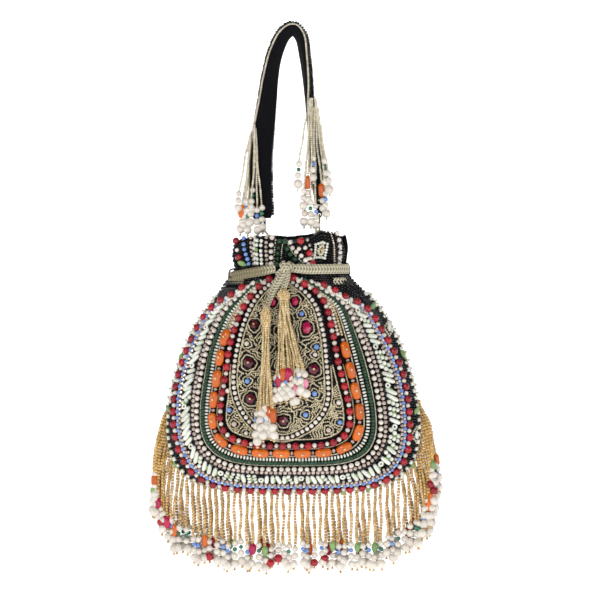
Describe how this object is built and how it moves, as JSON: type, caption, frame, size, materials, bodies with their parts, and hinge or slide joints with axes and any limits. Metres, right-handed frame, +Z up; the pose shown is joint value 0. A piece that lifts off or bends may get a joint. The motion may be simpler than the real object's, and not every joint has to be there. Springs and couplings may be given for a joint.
{
  "type": "potli bag",
  "caption": "Small gathered drawstring evening pouch covered in bead embroidery, with a padded wrist strap, tassels and a long bead fringe.",
  "frame": {"origin": "underside of the strap's arch, where a hand or a peg carries the bag", "axes": "+Z up along the hanging bag, front towards -Y, +X to the right seen from the front"},
  "size_m": [0.2266, 0.0882, 0.4475],
  "materials": {
    "front_beadwork": "black velvet covered all over with bead embroidery",
    "back_beadwork": "black ground covered with black seed beads",
    "lining_satin": "dark green satin",
    "seam_beads": "edge line of cream and gold beads",
    "braid": "flat braid of antique gold metallic yarn",
    "strap_beads": "faceted black seed beads on cloth",
    "velvet": "black velvet",
    "webbing": "black webbing",
    "fringe_beads": "silver-lined gold glass seed beads with pearl ends",
    "metal": "antique brass wire",
    "ring_enamel": "cream lacquered wire"
  },
  "bodies": {
    "strap": {"strap_beaded_cover": "strap_beads", "strap_velvet_lining": "velvet", "strap_core": "webbing", "strap_end_tab_left": "webbing", "strap_end_tab_right": "webbing", "link_left": "metal", "link_right": "metal"},
    "pouch": {"front_panel": "front_beadwork", "back_panel": "back_beadwork", "lining": "lining_satin", "seam_piping": "seam_beads", "drawstring": "braid", "drawstring_knot": "braid", "ring_left": "ring_enamel", "ring_right": "ring_enamel", "ring_tape_left": "webbing", "ring_tape_right": "webbing", "drawstring_loop_left": "webbing", "drawstring_loop_right": "webbing"},
    "tail_left": {"drawstring_tail_left": "braid"},
    "tail_right": {"drawstring_tail_right": "braid"},
    "tassel_left": {"tassel_head_left": "fringe_beads", "tassel_skirt_left": "fringe_beads"},
    "tassel_right": {"tassel_head_right": "fringe_beads", "tassel_skirt_right": "fringe_beads"},
    "strands_left": {"strap_strands_left": "fringe_beads"},
    "strands_right": {"strap_strands_right": "fringe_beads"},
    "fringe_side_left": {"fringe_side_left": "fringe_beads"},
    "fringe_side_right": {"fringe_side_right": "fringe_beads"},
    "fringe_corner_left": {"fringe_corner_left": "fringe_beads"},
    "fringe_corner_right": {"fringe_corner_right": "fringe_beads"},
    "fringe_turn_left": {"fringe_turn_left": "fringe_beads"},
    "fringe_turn_right": {"fringe_turn_right": "fringe_beads"},
    "fringe_base_left": {"fringe_base_left": "fringe_beads"},
    "fringe_base_right": {"fringe_base_right": "fringe_beads"},
    "fringe_base_middle": {"fringe_base_middle": "fringe_beads"}
  },
  "joints": [
    {"name": "pouch_swing", "type": "hinge", "parent": "strap", "child": "pouch", "pos_m": [0, 0, -0.156], "axis": [1, 0, 0], "range_deg": [-20, 20]},
    {"name": "tail_swing_left", "type": "hinge", "parent": "pouch", "child": "tail_left", "pos_m": [-0.0116, -0.037, -0.195], "axis": [-1, 0, 0], "range_deg": [0, 40]},
    {"name": "tail_swing_right", "type": "hinge", "parent": "pouch", "child": "tail_right", "pos_m": [-0.0056, -0.0374, -0.1945], "axis": [-1, 0, 0], "range_deg": [0, 40]},
    {"name": "tassel_swing_left", "type": "hinge", "parent": "tail_left", "child": "tassel_left", "pos_m": [-0.0204, -0.042, -0.2148], "axis": [-1, 0, 0], "range_deg": [0, 35]},
    {"name": "tassel_swing_right", "type": "hinge", "parent": "tail_right", "child": "tassel_right", "pos_m": [-0.0072, -0.041, -0.2006], "axis": [-1, 0, 0], "range_deg": [0, 35]},
    {"name": "strands_swing_left", "type": "hinge", "parent": "strap", "child": "strands_left", "pos_m": [-0.034, -0.0076, -0.082], "axis": [-1, 0, 0], "range_deg": [0, 30]},
    {"name": "strands_swing_right", "type": "hinge", "parent": "strap", "child": "strands_right", "pos_m": [0.0145, -0.0112, -0.048], "axis": [-1, 0, 0], "range_deg": [0, 30]},
    {"name": "fringe_side_left_swing", "type": "hinge", "parent": "pouch", "child": "fringe_side_left", "pos_m": [0, 0, -0.3045], "axis": [-1, 0, 0], "range_deg": [-30, 30]},
    {"name": "fringe_side_right_swing", "type": "hinge", "parent": "pouch", "child": "fringe_side_right", "pos_m": [0, 0, -0.3045], "axis": [-1, 0, 0], "range_deg": [-30, 30]},
    {"name": "fringe_corner_left_swing", "type": "hinge", "parent": "pouch", "child": "fringe_corner_left", "pos_m": [0, 0, -0.351], "axis": [-1, 0, 0], "range_deg": [-30, 30]},
    {"name": "fringe_corner_right_swing", "type": "hinge", "parent": "pouch", "child": "fringe_corner_right", "pos_m": [0, 0, -0.351], "axis": [-1, 0, 0], "range_deg": [-30, 30]},
    {"name": "fringe_turn_left_swing", "type": "hinge", "parent": "pouch", "child": "fringe_turn_left", "pos_m": [0, 0, -0.3605], "axis": [-1, 0, 0], "range_deg": [-30, 30]},
    {"name": "fringe_turn_right_swing", "type": "hinge", "parent": "pouch", "child": "fringe_turn_right", "pos_m": [0, 0, -0.3605], "axis": [-1, 0, 0], "range_deg": [-30, 30]},
    {"name": "fringe_base_left_swing", "type": "hinge", "parent": "pouch", "child": "fringe_base_left", "pos_m": [0, 0, -0.3655], "axis": [-1, 0, 0], "range_deg": [-30, 30]},
    {"name": "fringe_base_right_swing", "type": "hinge", "parent": "pouch", "child": "fringe_base_right", "pos_m": [0, 0, -0.3655], "axis": [-1, 0, 0], "range_deg": [-30, 30]},
    {"name": "fringe_base_middle_swing", "type": "hinge", "parent": "pouch", "child": "fringe_base_middle", "pos_m": [0, 0, -0.3655], "axis": [-1, 0, 0], "range_deg": [-30, 30]}
  ]
}
